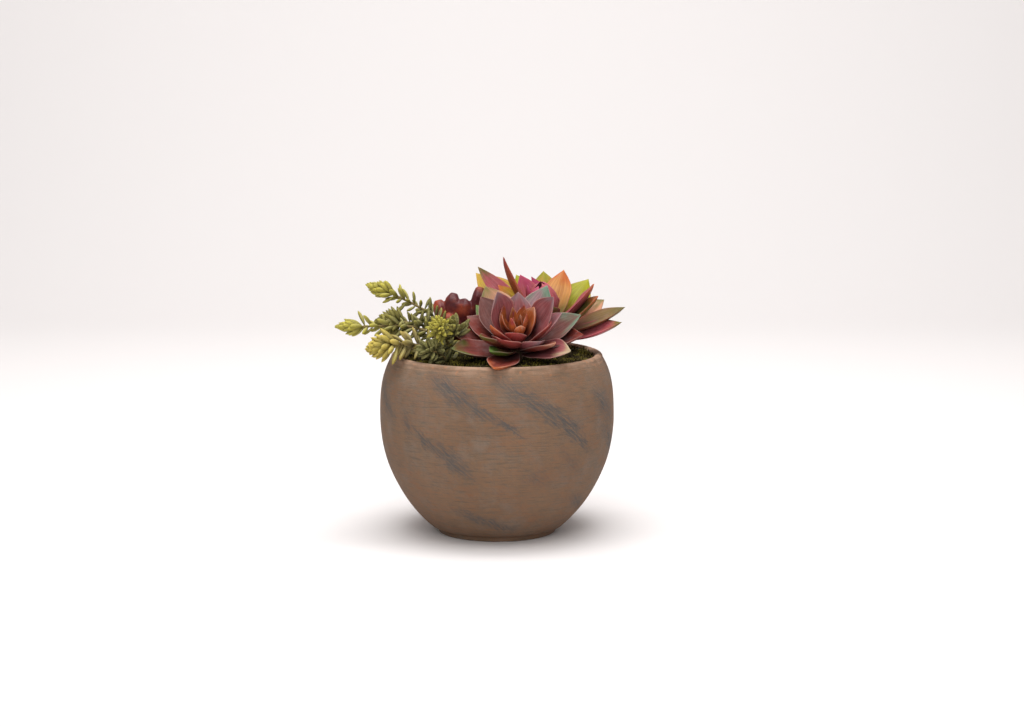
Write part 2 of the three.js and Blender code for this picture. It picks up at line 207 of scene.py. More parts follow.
# The smears are laid out on the unrolled wall: U is the distance round it from the front, V the height.
# Each is a soft oval, given by its middle, half length and half width in millimetres, its slope in degrees
# down to the right, and how much grey it carries.
SMEARS = [
    (-34, 119, 26, 8, 33, 0.9),
    (-4, 103, 26, 4, 34, 0.65),
    (12, 93, 12, 2, 33, 0.8),
    (24, 115, 34, 9, 32, 0.7),
    (52, 97, 26, 8, 32, 0.75),
    (66, 84, 17, 4.5, 38, 1),
    (-56, 81, 13, 4, 42, 0.8),
    (-34, 69, 20, 8, 41, 0.95),
    (-74, 92, 14, 7, 50, 0.5),
    (62, 66, 20, 6, 38, 0.35),
    (30, 56, 16, 7, 20, 0.3),
    (-18, 22, 26, 5, 16, 0.75),
    (10, 14, 22, 4, 8, 0.5),
    (102, 104, 22, 9, 38, 0.7),
    (118, 74, 28, 7, 34, 0.8),
    (150, 110, 30, 9, 33, 0.8),
    (176, 82, 26, 6, 36, 0.7),
    (214, 103, 32, 9, 32, 0.8),
    (236, 64, 24, 8, 40, 0.8),
    (-110, 108, 26, 8, 36, 0.8),
    (-132, 72, 24, 7, 38, 0.7),
    (-166, 96, 30, 9, 34, 0.8),
    (-204, 74, 26, 8, 36, 0.8),
    (-232, 112, 28, 8, 33, 0.8),
    (90, 30, 22, 5, 20, 0.6),
    (-150, 34, 24, 6, 22, 0.6),
]
unrolled = add(tree, "UVMap", uv_map="unrolled").outputs[0]
ragged = add(tree, "TexNoise", {"Vector": unrolled, "Scale": 1 / (9 * MM), "Detail": 6, "Roughness": 0.7})
ragged = add(tree, "VectorMath", {0: ragged.outputs["Color"], 1: (0.5, 0.5, 0.5)}, operation="SUBTRACT")
ragged = add(tree, "VectorMath", {0: ragged.outputs[0], "Scale": 16 * MM}, operation="SCALE")
torn = add(tree, "VectorMath", {0: unrolled, 1: ragged.outputs[0]}, operation="ADD").outputs[0]
grey = 0.0
for across, height, half_length, half_width, slope, strength in SMEARS:
    middle = (across * MM, height * MM, 0)
    tilt = (0, 0, -math.radians(slope))
    reach = (half_length * 1.3 * MM, half_width * 1.25 * MM, 1)
    oval = add(tree, "Mapping", {0: torn, 1: middle, 2: tilt, 3: reach}, vector_type="TEXTURE")
    soft = add(tree, "TexGradient", {0: oval.outputs[0]}, gradient_type="SPHERICAL")
    soft_share = {0: soft.outputs["Fac"], 1: strength, 2: grey}
    grey = add(tree, "Math", soft_share, operation="MULTIPLY_ADD").outputs[0]

# The bristles leave the grey in slanting dashes a millimetre or two wide.
BRISTLE_SLOPE, DASH = math.radians(36), (11 * MM, 1.5 * MM, 1)
bristle_place = add(tree, "Mapping", {0: unrolled, 2: (0, 0, -BRISTLE_SLOPE), 3: DASH},
                    vector_type="TEXTURE")
bristles = add(tree, "TexNoise", {"Vector": bristle_place.outputs[0], "Scale": 1, "Detail": 7,
                                  "Roughness": 0.75})
bristle_share = add(tree, "MapRange", {0: bristles.outputs["Fac"], 1: 0.40, 2: 0.58, 3: 0.15, 4: 1})
grey_share = add(tree, "MapRange", {0: grey, 1: 0.04, 2: 0.6, 3: 0, 4: 1})
grey_share = add(tree, "Math", {0: grey_share.outputs[0], 1: bristle_share.outputs[0]},
                 operation="MULTIPLY", use_clamp=True)
clay = blend(tree, grey_share.outputs[0], clay, SLATE)

# Loose dry bristles elsewhere leave a faint slanting grain over the whole wall.
faint = add(tree, "MapRange", {0: bristles.outputs["Fac"], 1: 0.5, 2: 0.7, 3: 0, 4: 0.45})
clay = blend(tree, faint.outputs[0], clay, DRY_GRAIN)

# The rim is rubbed, in a band that breaks up downwards.
height = add(tree, "SeparateXYZ", {0: place}).outputs[2]
rub_noise = add(tree, "TexNoise", {"Vector": level.outputs[0], "Scale": 1.1, "Detail": 5, "Roughness": 0.7})
rub_height = add(tree, "Math", {0: rub_noise.outputs["Fac"], 1: 16 * MM, 2: height},
                 operation="MULTIPLY_ADD")
rubbed = add(tree, "MapRange", {0: rub_height.outputs[0], 1: BOWL_HEIGHT + 1 * MM,
                                2: BOWL_HEIGHT + 9 * MM})
rub_patches = add(tree, "MapRange", {0: patches.outputs["Fac"], 1: 0.38, 2: 0.56, 3: 0.1, 4: 0.85})
rub_share = add(tree, "Math", {0: rubbed.outputs[0], 1: rub_patches.outputs[0]}, operation="MULTIPLY")
clay = blend(tree, rub_share.outputs[0], clay, RUBBED)

# Specks: sparse dark pits of about a millimetre, and a few orange chips.
speck = add(tree, "TexNoise", {"Vector": place, "Scale": 1 / (3.2 * MM), "Detail": 3, "Roughness": 0.6})
pits = add(tree, "MapRange", {0: speck.outputs["Fac"], 1: 0.70, 2: 0.78, 3: 0, 4: 0.75})
clay = blend(tree, pits.outputs[0], clay, PIT)
chip = add(tree, "TexNoise", {"Vector": place, "Scale": 1 / (5 * MM), "Detail": 2, "Roughness": 0.5})
chips = add(tree, "MapRange", {0: chip.outputs["Fac"], 1: 0.64, 2: 0.72, 3: 0, 4: 0.5})
near_rim = add(tree, "MapRange", {0: height, 1: BOWL_HEIGHT - 12 * MM, 2: BOWL_HEIGHT - 3 * MM})
chips = add(tree, "Math", {0: chips.outputs[0], 1: near_rim.outputs[0]}, operation="MULTIPLY")
clay = blend(tree, chips.outputs[0], clay, CHIP)
tree.links.new(clay, shader.inputs["Base Color"])

dull = add(tree, "MapRange", {0: lines.outputs["Fac"], 1: 0.3, 2: 0.7, 3: 0.72, 4: 0.92})
tree.links.new(dull.outputs[0], shader.inputs["Roughness"])
grain = add(tree, "TexNoise", {"Vector": place, "Scale": 1 / (1.2 * MM), "Detail": 3})
relief = add(tree, "Math", {0: line_depth.outputs[0], 1: grain.outputs["Fac"]}, operation="ADD")
relief = add(tree, "Math", {0: relief.outputs[0], 1: pits.outputs[0]}, operation="SUBTRACT")
bump = add(tree, "Bump", {"Strength": 0.35, "Distance": 0.25 * MM, "Height": relief.outputs[0]})
tree.links.new(bump.outputs[0], shader.inputs["Normal"])
shader.inputs["Specular IOR Level"].default_value = 0.3

unrolled_layer = bowl.loops.layers.uv.new("unrolled")
for face in bowl.faces:
    middle = face.calc_center_median()
    around = math.atan2(middle.x, -middle.y)
    for loop in face.loops:
        x, y, z = loop.vert.co
        turn = math.atan2(x, -y) if math.hypot(x, y) > 1e-5 else around
        turn += math.tau * round((around - turn) / math.tau)
        loop[unrolled_layer].uv = (turn * BOWL_RADIUS, z)
finish_piece("bowl", bowl, brushed_clay, "bowl", "bowl")

# --------------------------------------------------------------------------------- Potting mix and moss
# The bowl is filled with dark bark and coir mix. A mat of cushion moss lies over it almost up to the rim:
# a low uneven dome set all over with short blunt shoots.

MOSS_SHOOTS = 9000
SHOOT_HEIGHT = (1.6 * MM, 3.6 * MM)
SHOOT_LEAN = 0.5  # radians either way
MOSS_SHADE, MOSS_OLIVE, MOSS_TIP = "#120b04", "#2c2209", "#6e6420"
CRUMB_DARK, CRUMB_PALE = "#1c130c", "#49362a"

mix_material, tree, shader = new_material("bark_potting_mix")
place = add(tree, "TexCoord").outputs["Object"]
crumbs = add(tree, "TexVoronoi", {"Vector": place, "Scale": 1 / (3 * MM)})
crumb_colour = blend(tree, crumbs.outputs["Distance"], CRUMB_DARK, CRUMB_PALE)
tree.links.new(crumb_colour, shader.inputs["Base Color"])
shader.inputs["Roughness"].default_value = 0.95
crumb_bump = add(tree, "Bump", {"Strength": 0.8, "Distance": 1 * MM, "Height": crumbs.outputs["Distance"]})
tree.links.new(crumb_bump.outputs[0], shader.inputs["Normal"])
mix_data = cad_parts["potting_mix"].data
mix_data.materials.clear()
mix_data.materials.append(mix_material)

# Moss shoots scatter light from fine leaves: matt, and yellow-green at their tips. The black between the
# shoots is painted shade, laid on the cushion and on the foot of each shoot.
moss_material, tree, shader = new_material("cushion_moss")
place = add(tree, "TexCoord").outputs["Object"]
unshaded_share = add(tree, "Attribute", attribute_name="shoot").outputs["Fac"]
tufts = add(tree, "TexNoise", {"Vector": place, "Scale": 1 / (9 * MM), "Detail": 4})
patchy = add(tree, "MapRange", {0: tufts.outputs["Fac"], 1: 0.46, 2: 0.66})
lit_tip = blend(tree, patchy.outputs[0], MOSS_OLIVE, MOSS_TIP)
moss_colour = blend(tree, unshaded_share, MOSS_SHADE, lit_tip)
tree.links.new(moss_colour, shader.inputs["Base Color"])
shader.inputs["Roughness"].default_value = 0.9
shader.inputs["Specular IOR Level"].default_value = 0.2

moss_low, moss_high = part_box("moss")
moss_radius = moss_high.x
MOSS_FALL = 1.5 * MM
moss_crown = moss_high.z - 2.6 * MM


def moss_height(x, y):
    share = min(1, math.hypot(x, y) / moss_radius)
    cushions = noise.noise(Vector((x, y, 0)) / (16 * MM)) * 2.6
    tufts = noise.noise(Vector((x, y, 9)) / (5 * MM)) * 1.1
    return moss_crown - MOSS_FALL * share**2 + (cushions + tufts) * MM


underside = [(0, moss_low.z), (moss_radius - 1 * MM, moss_low.z), (moss_radius, moss_low.z + 3 * MM)]
top = [(moss_radius * share, 0) for share in steps_between(0.995, 0, 56)]
moss = turned(underside + top, 150)
# The shoot layer gives how far each point is out of the painted shade: little on the cushion, full at the
# shoot tips.
shoot_shade_layer = moss.verts.layers.float.new("shoot")
for vert in moss.verts:
    if vert.co.z == 0:
        vert.co.z = moss_height(vert.co.x, vert.co.y)
        vert[shoot_shade_layer] = 0.1


def add_copy(mesh, template, matrix):
    """Adds a copy of a template mesh, moved by matrix, to a bmesh."""
    copy = template.copy()
    copy.transform(matrix)
    mesh.from_mesh(copy)
    bpy.data.meshes.remove(copy)


shoot = bmesh.new()
shoot_shade_share = shoot.verts.layers.float.new("shoot")
bmesh.ops.create_cone(shoot, cap_ends=True, segments=5, radius1=0.32, radius2=0.1, depth=1)
# A shoot is painted in shade at its foot and keeps the moss's own colour at its tip.
for vert in shoot.verts:
    vert[shoot_shade_share] = 1 if vert.co.z > 0 else 0.15
shoot_data = bpy.data.meshes.new("shoot")
shoot.to_mesh(shoot_data)
shoot.free()
rng = random.Random(4)
for _ in range(MOSS_SHOOTS):
    distance = moss_radius * 0.985 * math.sqrt(rng.random())
    angle = rng.uniform(0, math.tau)
    x, y = distance * math.cos(angle), distance * math.sin(angle)
    tall = rng.uniform(*SHOOT_HEIGHT)
    lean = Matrix.Rotation(rng.uniform(-SHOOT_LEAN, SHOOT_LEAN), 4, "X")
    lean = lean @ Matrix.Rotation(rng.uniform(-SHOOT_LEAN, SHOOT_LEAN), 4, "Y")
    stand = Matrix.Translation((x, y, moss_height(x, y) + 0.3 * tall))
    add_copy(moss, shoot_data, stand @ lean @ Matrix.Scale(tall, 4))
finish_piece("moss", moss, moss_material, "moss", "moss")

# -------------------------------------------------------------------------------------- Rosette leaves
# Each leaf is fleshy and spoon-shaped: narrow where it leaves the stem, widest past the middle, hollow on
# top, keeled below, and drawn out to a short point. A leaf is shaped from a ball, and takes its place,
# length, width, curve and hollow from its own solid in the frame.

LEAF_AROUND, LEAF_ALONG = 28, 34
LEAF_WIDEST = 0.6
LEAF_BASE_SHARE = 0.42
LEAF_FLESH = 3.4 * MM
END_POINTS = 8  # corners round one end of a leaf's solid


def merged_node(name):
    mesh = bmesh.new()
    mesh.from_mesh(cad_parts[name].data)
    bmesh.ops.remove_doubles(mesh, verts=mesh.verts, dist=1e-5)
    return mesh


def mean(points):
    return sum(points, Vector()) / len(points)


def far_end(points, origin, count):
    """The middle of the few points that lie farthest from an origin."""
    return mean(sorted(points, key=lambda p: -(p - origin).length)[:count])


def stem_axis(name):
    """(foot, crown, direction) of a straight stem."""
    mesh = merged_node(name)
    foot = min((v.co.copy() for v in mesh.verts), key=lambda p: p.z)
    crown = max((v.co.copy() for v in mesh.verts), key=lambda p: (p - foot).length)
    mesh.free()
    return foot, crown, (crown - foot).normalized()


def leaf_lie(name, crown, axis):
    """How a leaf's solid lies: its base, middle and tip, the direction across it, its half width and
    hollow."""
    mesh = merged_node(name)
    points = [v.co.copy() for v in mesh.verts]
    # The tip lies between the solid's very end and the middle of its blunt end face.
    tip = far_end(points, crown, 1) * 0.5 + far_end(points, crown, END_POINTS) * 0.5
    base = far_end(points, tip, END_POINTS)
    chord = (tip - base).normalized()
    outward = (tip - crown) - axis * (tip - crown).dot(axis)
    across_hint = axis.cross(outward).normalized()
    half_width, across, middle, hollow = 0, across_hint, (base + tip) / 2, 0
    for share in (0.5, 0.6, 0.7):
        cut = mesh.copy()
        level = base.lerp(tip, share)
        everything = cut.verts[:] + cut.edges[:] + cut.faces[:]
        sliced = bmesh.ops.bisect_plane(cut, geom=everything, plane_co=level, plane_no=chord)
        ring = [g.co.copy() for g in sliced["geom_cut"] if isinstance(g, bmesh.types.BMVert)]
        cut.free()
        if len(ring) < 3:
            continue
        left, right = max(((a, b) for a in ring for b in ring), key=lambda ab: (ab[0] - ab[1]).length)
        if (right - left).dot(across_hint) < 0:
            left, right = right, left
        spread = (right - left).normalized()
        edge_middle, reach = (left + right) / 2, 0.35 * (right - left).length / 2
        core = [p for p in ring if abs((p - edge_middle).dot(spread)) < reach]
        centre = mean(core) if core else edge_middle
        if share == 0.5:
            middle = centre
        if (right - left).length / 2 > half_width:
            half_width, across = (right - left).length / 2, spread
            hollow = (edge_middle - centre).length / half_width
    mesh.free()
    return base, middle, tip, across, half_width, min(hollow, 0.5)


def leaf_width(along):
    """Half the leaf's width, as a share of its widest, from its narrow base to its drawn-out point."""
    if along < LEAF_WIDEST:
        return LEAF_BASE_SHARE + (1 - LEAF_BASE_SHARE) * math.sin(math.pi / 2 * along / LEAF_WIDEST)
    past = (along - LEAF_WIDEST) / (1 - LEAF_WIDEST)
    return (1 - past**1.75) * (1 - 0.16 * past**3)


def mix(a, b, share):
    return [p + (q - p) * share for p, q in zip(a, b)]


def smooth_share(value, low, high):
    t = max(0, min(1, (value - low) / (high - low)))
    return t * t * (3 - 2 * t)


def leaf_mesh(lie, colours, seed, around=LEAF_AROUND, up=LEAF_ALONG):
    """One leaf. colours are the hex colours at its base, on its blade and at its tip."""
    base, middle, tip, across, half_width, hollow = lie
    bend = middle * 2 - (base + tip) / 2
    flesh_depth = min(LEAF_FLESH, 0.3 * half_width + 1 * MM)
    mesh = bmesh.new()
    bmesh.ops.create_uvsphere(mesh, u_segments=around, v_segments=up, radius=1)
    along_layer = mesh.verts.layers.float.new("along")
    across_layer = mesh.verts.layers.float.new("across")
    tint_layer = mesh.verts.layers.float_color.new("tint_and_shade")
    base_tint, blade_tint, tip_tint = (linear(c) for c in colours)
    offset = Vector((seed * 7.3, seed * 3.1, 0))
    for vert in mesh.verts:
        pole = max(-1, min(1, vert.co.z))
        along = 1 - math.acos(pole) / math.pi
        ring = math.hypot(vert.co.x, vert.co.y)
        side_share = vert.co.x / ring if ring > 1e-4 else 0
        face_share = vert.co.y / ring if ring > 1e-4 else 0
        closing = min(1, along / 0.05) ** 0.5
        width = half_width * leaf_width(along) * closing
        wave = noise.noise(offset + Vector((along * 3, side_share * 0.7, 0)))
        spread = math.copysign(abs(side_share) ** 0.85, side_share)
        spine = base * (1 - along) ** 2 + bend * 2 * along * (1 - along) + tip * along**2
        tangent = ((bend - base) * (1 - along) + (tip - bend) * along).normalized()
        normal = tangent.cross(across).normalized()
        above = face_share > 0
        ending = min(1, (1 - along) / 0.1) ** 0.6
        flesh = flesh_depth * (0.35 + 0.65 * leaf_width(along)) * closing * ending
        skin = flesh * (0.3 if above else 0.7) * math.copysign(abs(face_share) ** 1.3, face_share)
        groove = -0.5 * MM * math.exp(-(spread * width / (1.6 * MM)) ** 2) * (1 if above else -0.6)
        cup = 1.25 * hollow * width * abs(spread) ** 1.7
        curl = 1.2 * MM * wave * abs(spread) ** 3
        lift = skin + groove * closing * (1 - along) + cup + curl
        vert.co = spine + across * width * spread + normal * lift
        vert[along_layer] = along
        vert[across_layer] = spread * 0.5 + 0.5
        blotch = noise.noise(offset + Vector((along * 5, spread * 1.6, 4)))
        blush = smooth_share(along + 0.16 * blotch, 0.12, 0.62)
        turn = smooth_share(along + 0.22 * blotch + 0.07 * abs(spread), 0.72, 1.04)
        # The middle of the blade's upper face darkens towards the base, a darker midrib together with
        # painted shade down in the hollow, and the whole leaf is darkened near its base with painted shade.
        # own_tone is the leaf's own random tone.
        channel_shade = 1 - 0.42 * (1 - abs(spread)) * smooth_share(along, 0.95, 0.25) * (face_share > -0.2)
        own_tone = 0.94 + 0.12 * math.sin(seed * 2.4)
        tone_and_shade = own_tone * channel_shade * (0.8 + 0.2 * smooth_share(along, 0.1, 0.5))
        shaded = mix(mix(base_tint, blade_tint, blush), tip_tint, turn)
        vert[tint_layer] = [c * tone_and_shade for c in shaded[:3]] + [1]
    bmesh.ops.recalc_face_normals(mesh, faces=mesh.faces)
    return mesh


YOUNG_SUNK = 4  # millimetres of each young leaf that are down in the crown


def young_leaves(mesh, crown, axis, young, bulge, colours, seed):
    """Adds the unopened leaves of a rosette's heart to its first leaf. Each is given by its turn round
    the axis and its splay from it in degrees, and its length and width in millimetres. bulge is how far
    they bow outwards, as a share of their length."""
    ahead = (Vector((0, -1, 0)) + axis * axis.y).normalized()
    for order, (turn, splay, length, width) in enumerate(young):
        outward = Matrix.Rotation(math.radians(turn), 3, axis) @ ahead
        pointing = axis * math.cos(math.radians(splay)) + outward * math.sin(math.radians(splay))
        base = crown - axis * YOUNG_SUNK * MM + outward * 1 * MM
        tip = base + pointing * (length + YOUNG_SUNK) * MM
        middle = (base + tip) / 2 + outward * bulge * length * MM
        lie = (base, middle, tip, axis.cross(outward).normalized(), width / 2 * MM, 0.4)
        leaflet = leaf_mesh(lie, colours[order % len(colours)], seed + order, 16, 20)
        data = bpy.data.meshes.new("leaflet")
        leaflet.to_mesh(data)
        leaflet.free()
        mesh.from_mesh(data)
        bpy.data.meshes.remove(data)


WAX = "#b0a0a2"


def leaf_material(name, edge_colour, edge_share, vein_colour):
    """Leaf skin under a waxy bloom: a soft low gloss, a little light carried in the flesh, fine veins that
    run along the blade and a thin margin of another colour."""
    material, tree, shader = new_material(name)
    tint_and_shade = add(tree, "Attribute", attribute_name="tint_and_shade").outputs["Color"]
    along = add(tree, "Attribute", attribute_name="along").outputs["Fac"]
    across = add(tree, "Attribute", attribute_name="across").outputs["Fac"]
    place = add(tree, "TexCoord").outputs["Object"]
    # Veins: about 26 across the blade, long and thin, wandering a little.
    lengthwise = add(tree, "CombineXYZ", {0: across, 1: along})
    vein_place = add(tree, "Mapping", {0: lengthwise.outputs[0], 3: (26, 2.2, 1)})
    veins = add(tree, "TexNoise", {"Vector": vein_place.outputs[0], "Scale": 1, "Detail": 4,
                                   "Roughness": 0.6})
    vein_share = add(tree, "MapRange", {0: veins.outputs["Fac"], 1: 0.42, 2: 0.68, 3: 0, 4: 0.5})
    colour = blend(tree, vein_share.outputs[0], tint_and_shade, vein_colour, blend_type="MULTIPLY")
    # Bloom: the wax is rubbed thin in cloudy patches of 6 mm or so.
    wax = add(tree, "TexNoise", {"Vector": place, "Scale": 1 / (6 * MM), "Detail": 6, "Roughness": 0.65})
    wax_share = add(tree, "MapRange", {0: wax.outputs["Fac"], 1: 0.45, 2: 0.75, 3: 0, 4: 0.10})
    colour = blend(tree, wax_share.outputs[0], colour, WAX)
    # The margin, from the distance to either side of the blade.
    off_middle = add(tree, "Math", {0: across, 1: 0.5}, operation="SUBTRACT")
    off_middle = add(tree, "Math", {0: off_middle.outputs[0]}, operation="ABSOLUTE")
    margin = add(tree, "MapRange", {0: off_middle.outputs[0], 1: 0.465, 2: 0.497, 3: 0, 4: edge_share})
    colour = blend(tree, margin.outputs[0], colour, edge_colour)
    tree.links.new(colour, shader.inputs["Base Color"])
    gloss = add(tree, "MapRange", {0: wax.outputs["Fac"], 1: 0.3, 2: 0.7, 3: 0.42, 4: 0.62})
    tree.links.new(gloss.outputs[0], shader.inputs["Roughness"])
    bump = add(tree, "Bump", {"Strength": 0.25, "Distance": 0.3 * MM, "Height": veins.outputs["Fac"]})
    tree.links.new(bump.outputs[0], shader.inputs["Normal"])
    shader.inputs["Subsurface Weight"].default_value = 0.12
    shader.inputs["Subsurface Radius"].default_value = (1.0, 0.45, 0.3)
    shader.inputs["Subsurface Scale"].default_value = 3 * MM
    shader.inputs["Specular IOR Level"].default_value = 0.22
    return material


# A short leaf-scarred stem carries each rosette: dull dry bark, with a ring where each old leaf has
# dropped.
BARK_DARK, BARK_PALE = "#2a1c12", "#6b5238"
STEM_SCAR, SCAR_DEPTH = 2.4 * MM, 0.35 * MM
ROSETTE_STEM_RADIUS = 4.6 * MM

stem_material, tree, shader = new_material("dry_leaf_scarred_stem")
place = add(tree, "TexCoord").outputs["Object"]
bark = add(tree, "TexNoise", {"Vector": place, "Scale": 1 / (3 * MM), "Detail": 5, "Roughness": 0.7})
bark_colour = blend(tree, bark.outputs["Fac"], BARK_DARK, BARK_PALE)
tree.links.new(bark_colour, shader.inputs["Base Color"])
shader.inputs["Roughness"].default_value = 0.85
bark_bump = add(tree, "Bump", {"Strength": 0.6, "Distance": 0.6 * MM, "Height": bark.outputs["Fac"]})
tree.links.new(bark_bump.outputs[0], shader.inputs["Normal"])


def rosette_stem(name, radius):
    foot, crown, axis = stem_axis(name)
    length = (crown - foot).length
    levels = steps_between(0, length, 64)
    profile = []
    for level in levels:
        taper = min(1, 0.25 + level / (14 * MM), ((length - level) / (5 * MM)) ** 0.5)
        scar = SCAR_DEPTH * abs(math.sin(math.pi * level / STEM_SCAR))
        profile.append((radius * taper + scar, level))
    profile[0], profile[-1] = (0, 0), (0, length)
    mesh = turned(profile, 28)
    leaning = axis.to_track_quat("Z", "Y").to_matrix().to_4x4()
    bmesh.ops.transform(mesh, verts=mesh.verts, matrix=Matrix.Translation(foot) @ leaning)
    finish_piece(name, mesh, stem_material, "rosette_stem", name)
    return crown, axis


# ------------------------------------------------------------------------------------ The front rosette
# Dusky mauve leaves with a grey bloom, orange in the heart, brick red low down, and green or cream at some
# of the outer tips. Each line gives a leaf's colours at its base, blade and tip, from the heart outwards.

MAUVE, DUSK, ROSE, BRICK, PLUM = "#965254", "#8c6c70", "#943d38", "#793025", "#471a17"
BROWN, TAN, OLIVE, GREEN, TEAL = "#683c2b", "#bd876a", "#666028", "#4f6b22", "#64806a"
CREAM, ORANGE, GREY_MAUVE = "#aa9a78", "#b4602f", "#714640"
PALE_EDGE, MAUVE_VEIN = "#a98c84", "#7d5054"

front_skin = leaf_material("mauve_leaf_skin", PALE_EDGE, 0.5, MAUVE_VEIN)
FRONT_COLOURS = [
    (BRICK, ROSE, ROSE),
    (BRICK, ORANGE, ROSE),
    (BRICK, ORANGE, TAN),
    (ROSE, MAUVE, DUSK),
    (PLUM, MAUVE, DUSK),
    (BRICK, ROSE, ORANGE),
    (ROSE, MAUVE, DUSK),
    (PLUM, ROSE, ROSE),
    (BRICK, BRICK, ROSE),
    (PLUM, GREY_MAUVE, GREY_MAUVE),
    (PLUM, DUSK, TEAL),
    (PLUM, MAUVE, DUSK),
    (BRICK, BRICK, OLIVE),
    (MAUVE, TAN, OLIVE),
    (PLUM, BRICK, TAN),
    (PLUM, GREY_MAUVE, TEAL),
    (PLUM, BRICK, GREY_MAUVE),
    (ROSE, GREEN, GREEN),
    (ROSE, MAUVE, DUSK),
    (PLUM, BRICK, ORANGE),
    (PLUM, PLUM, BRICK),
    (PLUM, MAUVE, CREAM),
    (PLUM, BRICK, GREEN),
    (PLUM, BRICK, OLIVE),
    (ROSE, OLIVE, GREEN),
]
FRONT_YOUNG = [
    (20, 28, 16, 9),
    (150, 24, 21, 9),
    (265, 26, 20, 9),
    (80, 16, 19, 7),
    (205, 15, 20, 7),
    (320, 14, 18, 7),
    (115, 5, 16, 5),
    (290, 5, 15, 5),
]
FRONT_YOUNG_COLOURS = [(BRICK, ORANGE, TAN), (PLUM, ORANGE, ROSE)]
crown, axis = rosette_stem("front_rosette_stem", ROSETTE_STEM_RADIUS)
for number, colours in enumerate(FRONT_COLOURS, 1):
    name = f"front_rosette_leaf_{number:02d}"
    leaf = leaf_mesh(leaf_lie(name, crown, axis), colours, number)
    if number == 1:
        young_leaves(leaf, crown, axis, FRONT_YOUNG, 0.12, FRONT_YOUNG_COLOURS, 90)
    finish_piece(name, leaf, front_skin, "front_leaf", name)

# ------------------------------------------------------------------------------------- The back rosette
# A magenta bud inside rose, peach and yellow-green leaves, whose margins are drawn in a darker rose.
# Its leaves are made like the front ones. Again each line is one leaf, from the bud outwards.

MAGENTA, PINK, YELLOW, LIME, CARMINE = "#a83c62", "#a65259", "#b0902a", "#8f9018", "#7e2638"
PEACH, KHAKI, ROSE_VEIN = "#c08a4e", "#8c7048", "#a86a58"

back_skin = leaf_material("yellow_rose_leaf_skin", CARMINE, 0.6, ROSE_VEIN)
BACK_COLOURS = [
    (BROWN, PINK, MAGENTA),
    (BROWN, PINK, MAGENTA),
    (BROWN, MAGENTA, MAGENTA),
    (PINK, ORANGE, ROSE),
    (OLIVE, ORANGE, ROSE),
    (OLIVE, BROWN, OLIVE),
    (PINK, YELLOW, ORANGE),
    (OLIVE, PEACH, ORANGE),
    (ORANGE, YELLOW, LIME),
    (YELLOW, LIME, LIME),
    (PINK, PINK, ORANGE),
    (MAGENTA, PINK, OLIVE),
    (ORANGE, LIME, LIME),
    (BROWN, OLIVE, ORANGE),
    (ORANGE, YELLOW, YELLOW),
    (ROSE, TAN, OLIVE),
    (ROSE, KHAKI, OLIVE),
    (BROWN, PINK, OLIVE),
    (ROSE, PEACH, YELLOW),
    (ROSE, YELLOW, LIME),
    (ROSE, PEACH, YELLOW),
    (PLUM, BROWN, OLIVE),
]
BACK_YOUNG = [
    (10, 2, 27, 26),
    (80, 3, 28, 25),
    (150, 2, 29, 24),
    (220, 3, 28, 25),
    (295, 2, 27, 26),
    (45, 0, 29, 18),
    (190, 0, 30, 17),
]
BACK_YOUNG_COLOURS = [(BROWN, PINK, MAGENTA), (BROWN, PINK, PINK)]
crown, axis = rosette_stem("back_rosette_stem", ROSETTE_STEM_RADIUS)
for number, colours in enumerate(BACK_COLOURS, 1):
    name = f"back_rosette_leaf_{number:02d}"
    leaf = leaf_mesh(leaf_lie(name, crown, axis), colours, number + 40)
    if number == 1:
        young_leaves(leaf, crown, axis, BACK_YOUNG, 0.3, BACK_YOUNG_COLOURS, 140)
    finish_piece(name, leaf, back_skin, "back_leaf", name)

# ------------------------------------------------------------------------------------ The red succulent
# A few fat, blunt leaves on a short stem behind the sedum, burgundy with a brick-orange blush. They grow
# together at the base, so they are one skin, rounded off from the solid that holds their place.

BURGUNDY, BRICK_BLUSH, FRECKLE, DRIED = "#4a1519", "#85351e", "#3c1410", "#4a2a16"
PLUMPING, SKIN_GRID = 1.6 * MM, 0.8 * MM

# Burgundy leaf skin: a soft satin, blushed in cloudy patches and finely freckled.
red_material, tree, shader = new_material("burgundy_leaf_skin")
place = add(tree, "TexCoord").outputs["Object"]
blush = add(tree, "TexNoise", {"Vector": place, "Scale": 1 / (14 * MM), "Detail": 4})
blush_share = add(tree, "MapRange", {0: blush.outputs["Fac"], 1: 0.42, 2: 0.62})
red = blend(tree, blush_share.outputs[0], BURGUNDY, BRICK_BLUSH)
freckles = add(tree, "TexNoise", {"Vector": place, "Scale": 1 / (1.6 * MM), "Detail": 3})
freckle_share = add(tree, "MapRange", {0: freckles.outputs["Fac"], 1: 0.55, 2: 0.7, 3: 0, 4: 0.35})
red = blend(tree, freckle_share.outputs[0], red, FRECKLE)
# The leaf nearest the rosettes has dried brown.
beside = add(tree, "SeparateXYZ", {0: place}).outputs[0]
dried = add(tree, "MapRange", {0: beside, 1: -14 * MM, 2: -8 * MM})
red = blend(tree, dried.outputs[0], red, DRIED)
tree.links.new(red, shader.inputs["Base Color"])
shader.inputs["Roughness"].default_value = 0.5
shader.inputs["Specular IOR Level"].default_value = 0.3
shader.inputs["Subsurface Weight"].default_value = 0.1
shader.inputs["Subsurface Radius"].default_value = (1.0, 0.3, 0.2)
shader.inputs["Subsurface Scale"].default_value = 3 * MM
skin_bump = add(tree, "Bump", {"Strength": 0.5, "Distance": 0.5 * MM, "Height": freckles.outputs["Fac"]})
tree.links.new(skin_bump.outputs[0], shader.inputs["Normal"])

